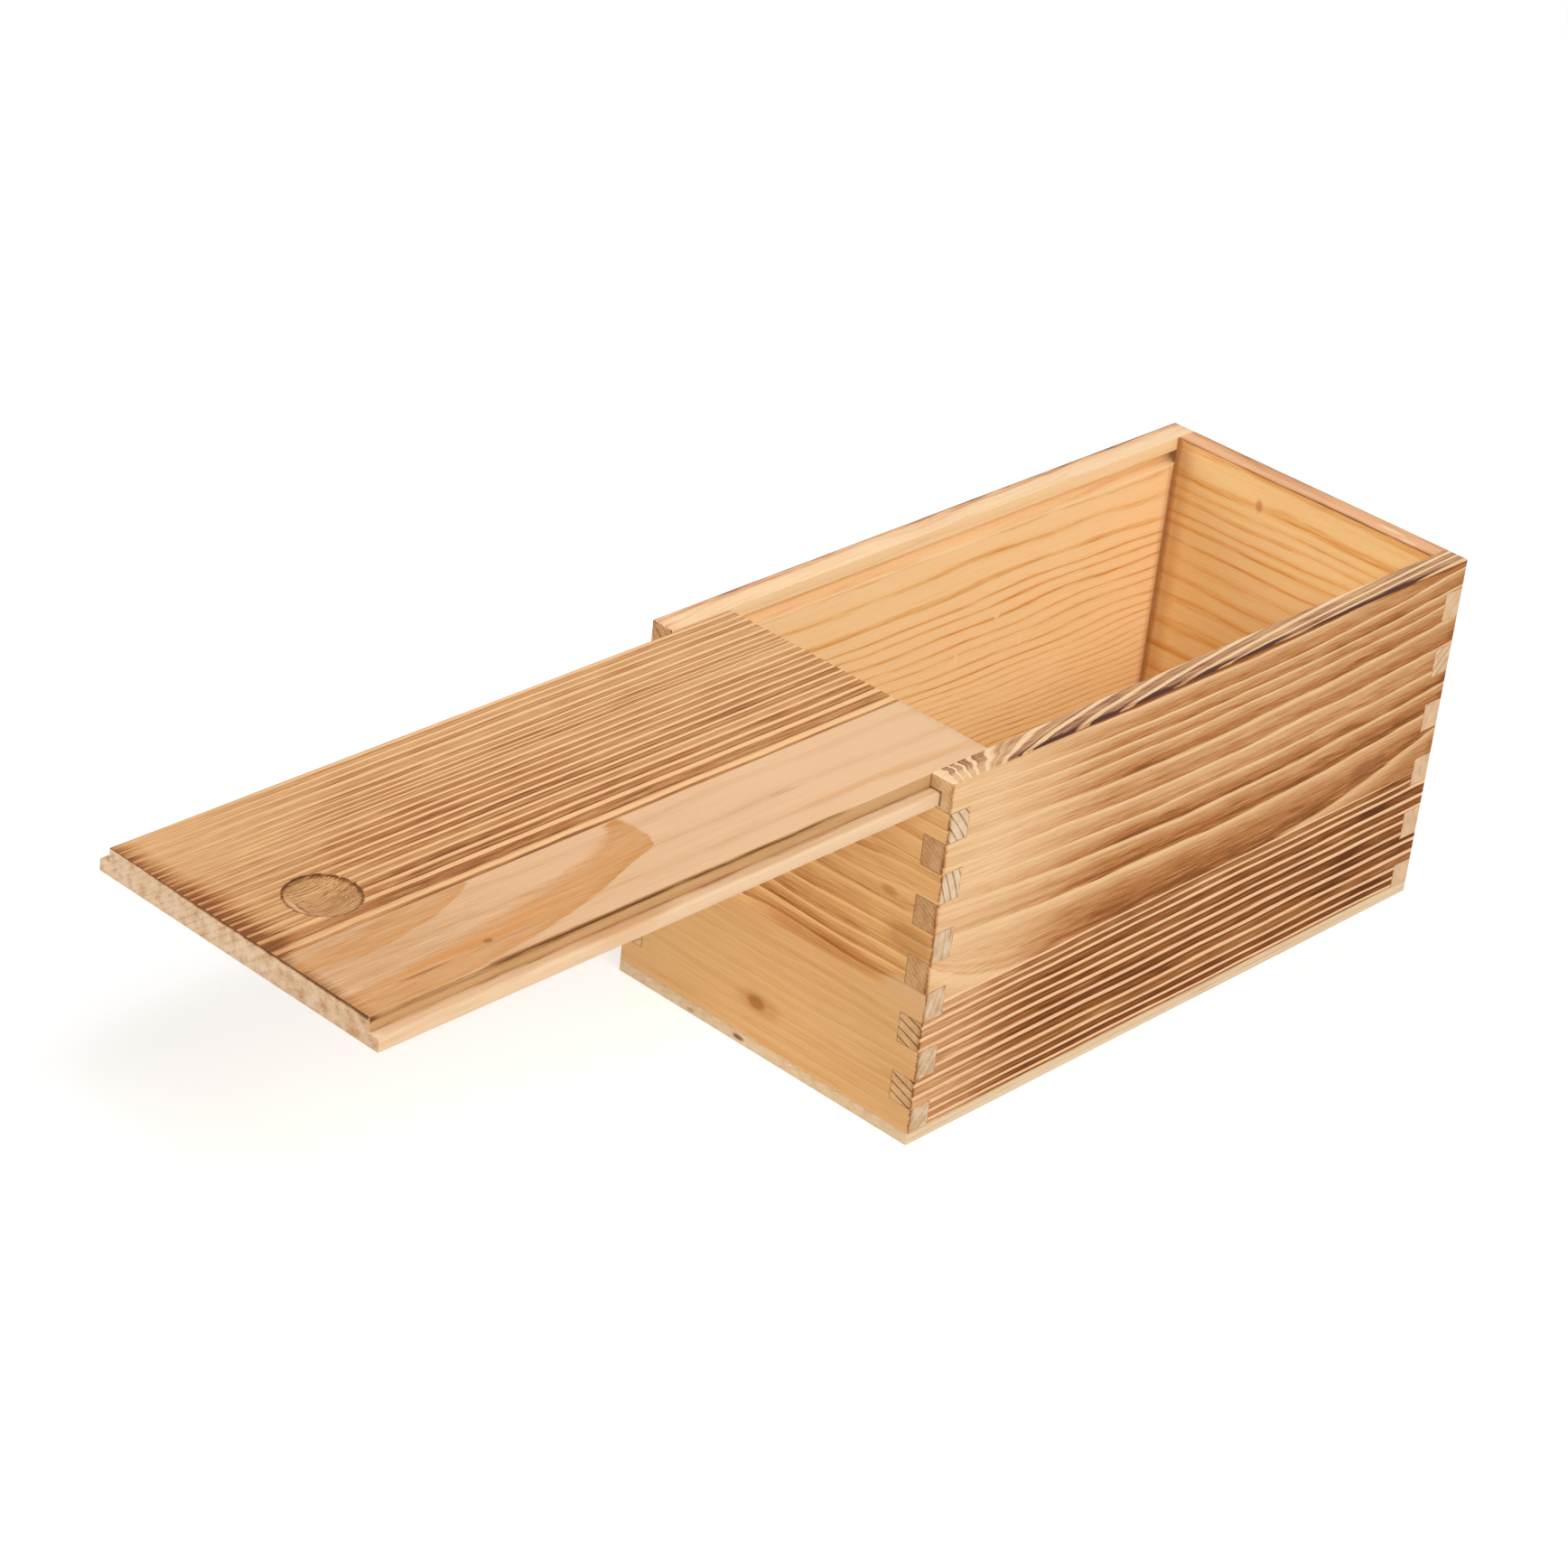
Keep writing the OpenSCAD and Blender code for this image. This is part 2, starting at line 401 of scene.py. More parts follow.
def pine(name, along, rings, profile, tones, lines=1.0, fibre=0.14, cloud=0.06, wander=0.03, lot=0,
         stains=(), extra=None):
    """Pine along the grain. A ring's profile says how dark the wood is from one latewood ridge to
    the next, torch how far the flame took that, and the scorch what it burnt besides, along with
    painted shade in the lid's recess and rebate corners. Fibres, streaks and clouds vary it, and
    the tones turn it from pale to dark. A lot is another tree's wood."""
    material, tree, place = start_material(name)

    def marks(width, length, detail):
        """Noise in marks about as wide and as long as given, in millimetres."""
        scale = [1 / (width * mm)] * 3
        scale[along] = 1 / (length * mm)
        at = node(tree, "Mapping", {"Vector": place, "Scale": scale, "Location": [lot * 9] * 3})[0]
        return node(tree, "TexNoise", {"Vector": at, "Scale": 1, "Detail": detail,
                                       "Roughness": 0.6})[0]

    # Real fibres are too fine to show, so they are drawn as wide as it takes.
    fibres = marks(0.32, 11, 5)
    streaks = marks(1.5, 55, 3)
    bends = marks(5, 24, 2)
    clouds = marks(9, 34, 3)
    dashes = marks(0.5, 4, 1)

    ring = node(tree, "Attribute", attribute_name=rings)["Fac"]
    for noise in (streaks, bends):
        ring = vary(tree, ring, noise, -wander, wander)
    phase = node(tree, "Math", {0: ring}, operation="FRACT")[0]
    soft = node(tree, "ValToRGB", {"Fac": phase})[0]
    fill_ramp(tree, profile)
    # Each ring has its own strength, so a dark line at a ridge counts with both of its sides.
    count = node(tree, "Math", {0: ring, 1: 0.5 * profile[0][1]}, operation="ADD")[0]
    count = node(tree, "Math", {0: count, 1: lot}, operation="FLOOR")[0]
    luck = node(tree, "TexWhiteNoise", {"W": count}, noise_dimensions="1D")["Value"]
    own = node(tree, "MapRange", {"Value": luck, 3: 0.78, 4: 1.12})[0]
    torch = node(tree, "Attribute", attribute_name="torch")["Fac"]
    dark = node(tree, "Math", {0: soft, 1: lines}, operation="MULTIPLY")[0]
    for share in (torch, own):
        dark = node(tree, "Math", {0: dark, 1: share}, operation="MULTIPLY")[0]
    for noise, swing in ((fibres, 0.18), (streaks, 0.08), (clouds, 0.1)):
        dark = vary(tree, dark, noise, 1 - swing, 1 + swing, "MULTIPLY")
    # Ridges that the brush left pale stay paler in a burn too.
    # The burns come from this attribute, and on the lid painted shade does too.
    scorch = node(tree, "Attribute", attribute_name="scorch")["Fac"]
    pale = 1 - profile[0][1]
    spared = node(tree, "Math", {0: soft, 1: 0.45 * pale, 2: 1 - 0.35 * pale},
                  operation="MULTIPLY_ADD")[0]
    burnt = vary(tree, scorch, fibres, 0.7, 1.3, "MULTIPLY")
    burnt = node(tree, "Math", {0: burnt, 1: spared}, operation="MULTIPLY")[0]
    nick = node(tree, "MapRange", {"Value": dashes, 1: 0.72, 2: 0.8, 3: 0.0, 4: 0.1})[0]
    # Fine lines that follow the rings, as many to a ring as the eye can just tell apart.
    across = node(tree, "Math", {0: ring, 1: 6.0}, operation="MULTIPLY")[0]
    hairs = node(tree, "TexNoise", {"W": across, "Scale": 1, "Detail": 3, "Roughness": 0.7},
                 noise_dimensions="1D")[0]
    for more in (burnt, nick):
        dark = node(tree, "Math", {0: dark, 1: more}, operation="ADD")[0]
    for noise, swing in ((fibres, fibre), (streaks, cloud), (clouds, cloud), (hairs, fibre)):
        dark = vary(tree, dark, noise, -swing, swing)
    colour = node(tree, "ValToRGB", {"Fac": dark})[0]
    fill_ramp(tree, tones)
    ragged = node(tree, "MapRange", {"Value": fibres, 1: 0.3, 2: 0.7, 3: -0.25, 4: 0.25})[0]
    for mark in stains:
        colour = stain(tree, place, colour, ragged, *mark)
    if extra:
        colour = extra(tree, place, colour, fibres)
    height = node(tree, "Math", {0: soft, 1: -0.4 * lines, 2: fibres}, operation="MULTIPLY_ADD")[0]
    finish_wood(tree, colour, height, 0.14 * mm)
    return material


def end_grain(name, rings, tones, line=0.5, line_width=0.3, stains=()):
    """Pine across the grain, as on a finger's end: the rings as thin dark arcs, as far as end_lines
    lets them show, and open pores, which make it duller than the face."""
    material, tree, place = start_material(name)
    # The pores, too, are drawn wider than real ones, so that they show.
    pores = node(tree, "TexNoise", {"Vector": place, "Scale": 1 / (0.35 * mm), "Detail": 4})[0]
    clouds = node(tree, "TexNoise", {"Vector": place, "Scale": 1 / (3 * mm), "Detail": 2})[0]
    ring = node(tree, "Attribute", attribute_name=rings)["Fac"]
    ragged = node(tree, "Math", {0: pores, 1: 0.12, 2: ring}, operation="MULTIPLY_ADD")[0]
    phase = node(tree, "Math", {0: ragged}, operation="FRACT")[0]
    arc = node(tree, "ValToRGB", {"Fac": phase})[0]
    fill_ramp(tree, [(0, line), (line_width / 2, line), (line_width, 0.0), (0.8, 0.0), (1, line * 0.4)])
    shown = node(tree, "Attribute", attribute_name="end_lines")["Fac"]
    dark = node(tree, "Math", {0: arc, 1: shown}, operation="MULTIPLY")[0]
    for noise, swing in ((pores, 0.12), (clouds, 0.16)):
        dark = vary(tree, dark, noise, -swing, swing)
    scorch = node(tree, "Attribute", attribute_name="scorch")["Fac"]
    for more in (scorch, 0.2):
        dark = node(tree, "Math", {0: dark, 1: more}, operation="ADD")[0]
    colour = node(tree, "ValToRGB", {"Fac": dark})[0]
    fill_ramp(tree, tones)
    torn = node(tree, "Math", {0: pores, 1: 0.5}, operation="SUBTRACT")[0]
    for mark in stains:
        colour = stain(tree, place, colour, torn, *mark)
    finish_wood(tree, colour, pores, 0.12 * mm)
    return material


# Dried wood glue with dust in it: a thin brown line, mottled along its length.
glue_line, tree, place = start_material("dried_wood_glue")
mottle = node(tree, "TexNoise", {"Vector": place, "Scale": 1 / (2 * mm)})[0]
glue_tone = node(tree, "ValToRGB", {"Fac": mottle})[0]
fill_ramp(tree, [(0.3, "#96683c"), (0.7, "#c9996a")])
finish_wood(tree, glue_tone, mottle, 0.05 * mm)

# How dark the wood is from one latewood ridge to the next, as (part of the ring, darkness): raw
# pine has dark lines, and torched and brushed pine has pale ridges over dark valleys.
raw_profile = [(0, 1.0), (0.08, 0.8), (0.2, 0.12), (0.6, 0.0), (0.84, 0.2), (0.94, 0.6), (1, 1.0)]
saw_profile = [(0, 0.0), (0.06, 0.0), (0.13, 1.0), (0.45, 0.82), (0.78, 0.55), (0.93, 0.36), (1, 0.0)]

front_wall = finger_board("front_wall_board", "front_wall", RUN_X, 1)
x, y, z = corners(front_wall).T
front_glue = 38.7
torch_reach = 3
front_depth = y + half_length
front_high_ridges = (26, 33, 41, 45, 49, 54.5, 61, 66, 71.5, 74.5, 80, 86, 92, 100)
front_high = ring_number([(h, h - 4, h + 5) for h in front_high_ridges], x, z, 1.3, front_depth, 0.6)
front_ends = fade(np.abs(x), 49.2, 49.6)
front_corner = (1 - fade(front_depth, 0.3, 0.8)) * front_ends
front_low_ends = (1 - fade(z, 58, 62)) * front_ends
keep(
    front_wall,
    low_rings=ring_number(straight([3.4 * n - 6 for n in range(18)]), x, z, 0.5, front_depth, 0.5),
    high_rings=front_high,
    # On the finger ends the rings are arcs round a pith that lies 40 mm behind the board.
    end_rings=np.hypot(front_depth + 40, z - 55) / 2.1,
    end_lines=0.3 + 0.7 * fade(z, 62, 66),
    torch=np.where(front_depth < torch_reach, 0.75 + 0.25 * np.sin(x / 21 + z / 30), 1),
    scorch=0.6 * front_corner + 0.12 * front_low_ends,
)
shoulder_x = 42
press_grain(front_wall, front_high, saw_profile, 0.1 * mm,
            (front_depth < 0.01) * (z > front_glue) * (np.abs(x) < shoulder_x), (RUN_Y, -1))
honey = [(0, "#efc084"), (0.3, "#e2ad6d"), (0.55, "#d0955a"), (0.8, "#b3743c"), (1, "#8a5328")]
honey_low = [(0, "#dfb27a"), (0.4, "#d4a065"), (0.75, "#bf894e"), (1, "#8f5c2c")]
inside_tones = [(0, "#f8d9a2"), (0.3, "#f2cb8c"), (0.65, "#e0a85f"), (1, "#b67633")]
pale_ends = [(0, "#e2c9ae"), (0.3, "#d5b896"), (0.6, "#b89067"), (1, "#6f5138")]
dress(
    front_wall,
    [
        glue_line,
        # Torched and brushed pine: honey brown and dull, with a knot and a few brown smudges.
        pine("torched_pine_front_low", RUN_X, "low_rings", saw_profile, honey_low, 0.28, 0.12, 0.1, lot=1,
             stains=[
                 ((-2.7, -100, 14.3), (2.4, 3, 1.5), "#8f5726", 0.8),
                 ((-2.2, -100, 14.3), (6, 3, 2.6), "#b97a3f", 0.4),
             ]),
        pine("torched_pine_front_high", RUN_X, "high_rings", saw_profile, honey, 0.72, 0.14, 0.1, lot=2,
             stains=[
                 ((34.5, -100, 64.7), (2.2, 3, 1.1), "#b0713a", 0.5),
                 ((17, -100, 41.5), (19, 3, 2.4), "#b06a30", 0.5),
                 ((42.5, -100, 54.5), (6.5, 3, 3.5), "#ad6e38", 0.45),
                 ((44, -100, 39.8), (6.5, 3, 3.4), "#dcb382", 0.85),
             ]),
        # Raw planed pine, as it came off the planer: pale orange, with thin darker rings.
        pine("planed_pine_front_inside_low", RUN_X, "low_rings", raw_profile, inside_tones, 0.45, lot=3),
        pine("planed_pine_front_inside_high", RUN_X, "high_rings", raw_profile, inside_tones, 0.5, lot=22),
        # Sawn end grain: beige, duller than the face, with brown ring lines.
        end_grain("sawn_pine_front_ends", "end_rings", pale_ends, 0.55, 0.22),
    ],
    lambda face: np.select(
        [seam(face, face.x, half_width), (abs(face.nx) > 0.75) & (abs(face.x) > outer_x),
         (face.y < -outer_y) & (face.z < front_glue), face.y < -outer_y, face.z < front_glue],
        [0, 5, 1, 2, 3], 4),
)
smooth(front_wall)
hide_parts("front_wall")
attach(front_wall, "box")


# ---- Back wall ----
# The other short wall, up to the rim, where the lid stops against it. It is the same stock as the
# front, torched outside, with wide orange growth rings on its raw inside.

back_wall = finger_board("back_wall_board", "back_wall", RUN_X, 1)
x, y, z = corners(back_wall).T
back_depth = half_length - y
back_ridges = (-10, -3, 4, 12, 20, 28, 36, 44, 51, 59.5, 65.5, 71.5, 76.5, 81.5, 84.5, 89, 92, 95.5, 104,
               112)
back_rings = ring_number([(h, h - 1.5, h + 1) for h in back_ridges], x, z, -0.7, back_depth, 0.3)
back_edges = 1 - fade(back_depth, 0.1, 0.9) * fade(board_thick / mm - back_depth, 0.1, 0.9)
keep(
    back_wall,
    rings=back_rings,
    end_rings=np.hypot(back_depth + 25, z - 40) / 2.4,
    end_lines=np.where((z > 67) & (z < 76), 1, 0.25),
    torch=np.where(back_depth < torch_reach, 0.85 + 0.15 * np.sin(x / 25 + z / 33), 1),
    scorch=0.5 * fade(z, 99.7, 100.3) * back_edges,
)
press_grain(back_wall, back_rings, saw_profile, 0.1 * mm,
            (back_depth < 0.01) * (np.abs(x) < shoulder_x), (RUN_Y, 1))
wide_profile = [(0, 1.0), (0.1, 0.9), (0.3, 0.2), (0.5, 0.0), (0.75, 0.15), (0.9, 0.5), (1, 1.0)]
outer_z = rim_top / mm - 0.22
back_inside = [(0, "#fad69b"), (0.3, "#f5c886"), (0.65, "#e2a458"), (1, "#b26d2d")]
back_rim = [(0, "#e8b488"), (0.35, "#d59c70"), (0.7, "#ab7250"), (1, "#5c382c")]
dress(
    back_wall,
    [
        glue_line,
        # Torched and brushed pine, as on the front wall.
        pine("torched_pine_back", RUN_X, "rings", saw_profile, honey, 0.85, lot=4, stains=[
            ((-18, 100, 57), (4, 3, 2.6), "#8f5726", 0.8),
            ((-17, 100, 57), (11, 3, 4.4), "#b97a3f", 0.4),
        ]),
        # Raw planed pine with wide orange rings, a dark joint line in the left corner with painted shade
        # beside it, and one small knot.
        pine("planed_pine_back_inside", RUN_X, "rings", wide_profile, back_inside, 0.5, wander=0.06, lot=5,
             stains=[
                 # A dark line along the corner's joint, and a wider band of painted shade beside it.
                 ((-43, 93, 60), (1.6, 3, 90), "#9a5f30", 0.6),
                 ((-43, 93, 60), (5, 3, 90), "#bd7f42", 0.4),
                 ((-13, 93, 92), (0.9, 3, 1.5), "#b06c35", 0.5),
             ]),
        # The rim, singed pinkish brown on both edges, with a few torn pale chips.
        pine("singed_pine_back_rim", RUN_X, "rings", saw_profile, back_rim, 0.4, 0.18, 0.12, lot=6, stains=[
            ((27, 96.5, 100.5), (3.5, 0.7, 2), "#f0cda0", 0.8),
            ((34, 94.6, 100.5), (2.2, 0.6, 2), "#f0cda0", 0.7),
        ]),
        # Sawn end grain, a little browner than on the front wall.
        end_grain("sawn_pine_back_ends", "end_rings",
                  [(0, "#e2c09c"), (0.4, "#d0a982"), (1, "#94704e")], 0.45),
    ],
    lambda face: np.select(
        [seam(face, face.x, half_width), (abs(face.nx) > 0.75) & (abs(face.x) > outer_x),
         face.z > outer_z, face.y > outer_y],
        [0, 4, 3, 1], 2),
)
smooth(back_wall)
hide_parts("back_wall")
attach(back_wall, "box")


# ---- Right wall ----
# A long side wall of two staves: a wide-ringed one over a close-ringed one, which took the torch
# hardest. The lid's groove is ploughed along its inside, under a thin rim, through both ends.

groove_low = 92.7 * mm
groove_high = 96.8 * mm
groove_depth = 3.5 * mm


def plough(low, high):
    """Cuts the lid's groove into a side wall's section, from its inner face."""
    inner, way = (low.x, 1) if low.x > 0 else (high.x, -1)
    cut(RUN_X, inner + way * groove_depth)
    cut(UP, groove_low)
    cut(UP, groove_high)
    select("FACE", lambda face: groove_low < face.calc_center_median().z < groove_high
           and way * (face.calc_center_median().x - inner) < groove_depth)
    bpy.ops.mesh.delete(type="FACE")


right_wall = finger_board("right_wall_board", "right_wall", RUN_Y, 0, plough)
# Closer divisions at the front, where the rim's stripes cross it.
bpy.ops.object.mode_set(mode="EDIT")
for n in range(24):
    cut(RUN_Y, (n + 0.37 - half_length) * mm)
bpy.ops.object.mode_set(mode="OBJECT")
x, y, z = corners(right_wall).T
right_depth = half_width - x
from_front = y + half_length
glue_height = 39.2
under_rim = z < 100.2
low_ridges = straight([-2, 1.5, 4.6, 7, 9.8, 13.2, 17, 20.4, 24.1, 27.1, 30.2, 34, 36.2, 38.8, 41.5], 0.03)
high_ridges = [
    (22, 28, 26), (36, 50, 50.5, 5.7, 2), (51.5, 57, 57), (60, 66.5, 64), (66.3, 71, 69.5),
    (72.3, 77, 76.5), (79.4, 84, 84.5), (85.6, 89.5, 89.5), (89, 93, 93), (93, 97, 98),
    (98.5, 102, 103.5), (104, 107, 108.5), (110, 113, 114),
]
# The rim's stripes cross it: each is its distance from the front at the outer and the inner edge.
rim_stripes = [(2, 2.5), (4, 5.5), (6.5, 8), (9, 12.5), (12, 20), (17.5, 38), (25, 64), (45, 87),
               (62, 118), (82, 160), (98, 235), (120, 330), (190, 420)]
right_low = ring_number(low_ridges, y, z, 0.35, right_depth, 0.12)
right_high = ring_number(high_ridges, y, z, 1.1, right_depth, 0.15)
right_rim = ring_number([(outer, outer, inner, 2, 1.3) for outer, inner in rim_stripes],
                        half_length * right_depth.clip(0) * mm / board_thick, from_front, 0, 0, 0.5)

# The flame: stronger away from the front, with a few burnt spots at the far end.
low_heat = 0.45 + 0.52 * fade(from_front, 10, 50)
for spot_y, spot_z in ((168, 21), (176, 32), (181, 9), (163, 13), (184, 40)):
    low_heat += 0.5 * np.exp(-((from_front - spot_y) / 6) ** 2 - ((z - spot_z) / 2.5) ** 2)
high_heat = 0.22 + 0.15 * fade(75 - z, 0, 27) + 0.63 * fade(from_front, 12, 70)
heat = np.where(z < glue_height, low_heat, high_heat)
heat = np.where(under_rim, heat, 0.55 + 0.45 * fade(from_front, 4, 30))

# The scorch: a browned band just above the glue line, the rim's outer arris, the finger ends
# and the front corner.
toast = 0.08 * fade(from_front, 12, 75) + 0.06 * fade(from_front, 90, 190)
toast += 0.2 * fade(54 - z, 0, 6) * fade(from_front, 15, 60) * (1 - 0.4 * fade(from_front, 120, 180))
toast = np.where(z < glue_height, 0.02, toast) * (right_depth < torch_reach) * under_rim
rim_burn = fade(z, 99.3, 100.2) * fade(x, 47.9, 49.2) * fade(from_front, 8, 40)
rim_burn = 0.75 * rim_burn * (1 - 0.7 * fade(from_front, 165, 195))
end_burn = 0.22 * fade(np.abs(y), 99.2, 99.5) * fade(z, 33, 40) * (1 - fade(z, 91, 93))
post_burn = 0.4 * fade(-y, 99.42, 99.8) * (1 - fade(right_depth, 0.3, 0.9))

end_heights = np.where(z < glue_height, 0.82 * z - 0.3 * right_depth, 1.4 * z - right_depth)
keep(
    right_wall,
    low_rings=right_low,
    high_rings=right_high,
    rim_rings=right_rim,
    end_rings=end_heights / 2.1,
    end_lines=np.where(z < 36, 1.3, 0.4),
    torch=np.where(right_depth < torch_reach, heat, 1),
    scorch=rim_burn + end_burn + post_burn + toast,
)
stripe_profile = [(0, 0.0), (0.12, 0.0), (0.21, 1.0), (0.5, 0.78), (0.79, 1.0), (0.88, 0.0), (1, 0.0)]
shoulder_y = 99
press_grain(right_wall, np.where(z < glue_height, right_low, right_high), stripe_profile, 0.15 * mm,
            (right_depth < 0.01) * (np.abs(y) < shoulder_y) * np.where(z < glue_height, 1.0, 0.6),
            (RUN_X, 1))
low_tones = [(0, "#eec398"), (0.25, "#d3a06e"), (0.5, "#a97143"), (0.75, "#89501e"), (1, "#60300a")]
high_tones = [(0, "#e7bf90"), (0.3, "#d5a574"), (0.55, "#c08a57"), (0.8, "#a96a35"), (1, "#804a20")]
rim_tones = [(0, "#ebcaa0"), (0.25, "#d8af84"), (0.5, "#bd8e66"), (0.75, "#8c5f45"), (1, "#4c2e26")]
side_end_tones = [(0, "#e2bb8a"), (0.3, "#d3a878"), (0.55, "#be905f"), (0.8, "#96683f"), (1, "#5d3c22")]
dress(
    right_wall,
    [
        glue_line,
        # Torched and brushed pine with close rings: pale ridges over nearly burnt soft wood, which
        # is blotched where the flame stayed longer.
        pine("torched_pine_right_low", RUN_Y, "low_rings", stripe_profile, low_tones, 0.9, 0.12, 0.03,
             lot=7),
        # The same with wide rings, torched more lightly towards the front and the top.
        pine("torched_pine_right_high", RUN_Y, "high_rings", saw_profile, high_tones, 0.78, 0.11, 0.03,
             lot=8, stains=[
                 ((50, 69, 47.5), (3, 4.5, 2.2), "#85502c", 0.45),
                 ((50, 76, 48.5), (3, 2.2, 1.6), "#7c4826", 0.45),
             ]),
        # Raw planed pine inside, in two staves.
        pine("planed_pine_right_inside_low", RUN_Y, "low_rings", raw_profile, inside_tones, 0.45, lot=9),
        pine("planed_pine_right_inside_high", RUN_Y, "high_rings", raw_profile, inside_tones, 0.5, lot=10),
        # The rim: pale stripes that run off its inner edge, and a burnt outer arris.
        pine("torched_pine_right_rim", RUN_Y, "rim_rings", stripe_profile, rim_tones, 0.62, lot=11),
        # Sawn end grain, browned by the torch, with nearly level ring lines low down.
        end_grain("sawn_pine_side_ends", "end_rings", side_end_tones, 0.6, 0.16),
    ],
    lambda face: np.select(
        [seam(face, face.y, half_length), abs(face.ny) > 0.75, face.z > outer_z,
         (face.x > outer_x) & (face.z < glue_height), face.x > outer_x, face.z < glue_height],
        [0, 6, 5, 1, 2, 3], 4),
)
smooth(right_wall)
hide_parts("right_wall")
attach(right_wall, "box")


# ---- Left wall ----
# The right wall's twin, with its groove facing the other way. Its raw inside is the part of the
# box that shows most: honey pine with fine, slightly wavy rings that close up towards the bottom.

left_wall = finger_board("left_wall_board", "left_wall", RUN_Y, 0, plough)
x, y, z = corners(left_wall).T
left_depth = x + half_width
left_ridges = (-6, -3, 0, 2.5, 5, 7.5, 10, 12.5, 15, 17, 19, 21.5, 23.5, 25.5, 28, 30, 32, 34, 36, 38,
               40.3, 42.5, 44.5, 47, 49.3, 52, 55.3, 59.5, 62.7, 66.8, 70.8, 73.7, 78.4, 86.2, 92.5,
               97.8, 104, 110)
left_wave = np.where(left_depth > torch_reach, 0.55, 0.25)
left_rings = ring_number([(h, h + 0.5, h - 1.4) for h in left_ridges],
                         y, z, -0.5, left_depth - board_thick / mm, left_wave)
rim_burn = 0.6 * fade(z, 99.6, 100.3) * fade(-x, 46.5, 49.4)
end_burn = 0.22 * fade(np.abs(y), 99.2, 99.5) * fade(z, 33, 40)
keep(
    left_wall,
    rings=left_rings,
    end_rings=np.hypot(left_depth + 30, z - 62) / 2.2,
    end_lines=0.6,
    torch=np.where(left_depth < torch_reach, 0.5 + 0.5 * fade(np.abs(y), 10, 80), 1),
    scorch=rim_burn + end_burn,
)
press_grain(left_wall, left_rings, stripe_profile, 0.15 * mm,
            (left_depth < 0.01) * (np.abs(y) < shoulder_y), (RUN_X, -1))
left_inside = [(0, "#fedaa6"), (0.3, "#f7cd90"), (0.65, "#e0a056"), (1, "#b06b28")]
left_rim = [(0, "#f3d0a6"), (0.4, "#e7ba8f"), (0.7, "#c48a62"), (1, "#6e4530")]
dress(
    left_wall,
    [
        glue_line,
        # Torched and brushed pine with close rings and a knot.
        pine("torched_pine_left", RUN_Y, "rings", stripe_profile, high_tones, 0.75, lot=12, stains=[
            ((-50, -31, 68), (3, 3.4, 2.4), "#6d3f1c", 0.85),
            ((-50, -30, 68), (3, 10, 4), "#a4683a", 0.45),
        ]),
        # Raw planed pine with fine orange rings, a dark joint line in the back corner with painted shade
        # beside it, a pale band of painted light over the groove, and a few pale nicks.
        pine("planed_pine_left_inside", RUN_Y, "rings", raw_profile, left_inside, 0.56, 0.12, 0.04, 0.05,
             lot=13, stains=[
                 # A dark line along the back corner's joint, and a wider band of painted shade beside it.
                 ((-43, 93, 60), (3, 0.6, 90), "#94592c", 0.6),
                 ((-43, 93, 60), (3, 1.7, 90), "#c58a4c", 0.4),
                 # A pale band of painted light along the whole wall over the groove, just under the rim,
                 # lifting the groove's shade.
                 ((-43, 0, 97), (6, 300, 5), "#fbdcae", 0.75),
                 ((-43, 10, 58.6), (3, 0.5, 1.4), "#ffe3b6", 0.7),
                 ((-43, 36, 56.5), (3, 0.6, 1.3), "#ffe3b6", 0.7),
                 ((-43, 25, 66.5), (3, 0.9, 0.8), "#ffe3b6", 0.7),
             ]),
        # The rim, nearly untouched by the flame.
        pine("planed_pine_left_rim", RUN_Y, "rings", raw_profile, left_rim, 0.3, 0.16, 0.12, lot=14),
        # Sawn end grain, browned by the torch, as on the right wall.
        end_grain("sawn_pine_left_ends", "end_rings", side_end_tones, 0.6, 0.16),
    ],
    lambda face: np.select(
        [seam(face, face.y, half_length), abs(face.ny) > 0.75, face.z > outer_z, face.x < -outer_x],
        [0, 4, 3, 1], 2),
)
smooth(left_wall)
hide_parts("left_wall")
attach(left_wall, "box")


# ---- Bottom board ----
# A thinner pine board under the four walls, flush with them, glued and bradded from below. The
# torch hardly reached its edge, so it shows as a pale band along the foot of the box.

bottom_low, bottom_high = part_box("bottom_board")
bottom_board = start_board("bottom_board_pine", bottom_low, bottom_high, RUN_Y)
for place in (bottom_low.x + arris_margin, bottom_high.x - arris_margin):
    cut(RUN_X, place)
cut(UP, bottom_low.z + arris_margin)
bpy.ops.mesh.select_all(action="SELECT")
for length in (arris_margin, bottom_high.y - bottom_low.y - 2 * arris_margin, arris_margin):
    pull((0, length, 0))
finish_board(bottom_board, (0.8 * mm, 5 * mm, 0.6 * mm))
head_hole = (1.05 * mm, 0.75 * mm)
drill(bottom_board, *head_hole)
drill(bottom_board, *shank_hole)
x, y, z = corners(bottom_board).T
on_edge = np.maximum(np.abs(x) - half_width, np.abs(y) - half_length) > -0.25
keep(
    bottom_board,
    rings=ring_number(straight([n * 5.5 - 66 for n in range(24)]), y, x, 3.2, z, 0.6),
    end_lines=0.8,
    torch=1,
    scorch=0.15 * fade(z, 2.6, 3.3) * on_edge,
)
pale_pine = [(0, "#e4cba8"), (0.35, "#d6b992"), (0.75, "#b9946a"), (1, "#87603a")]
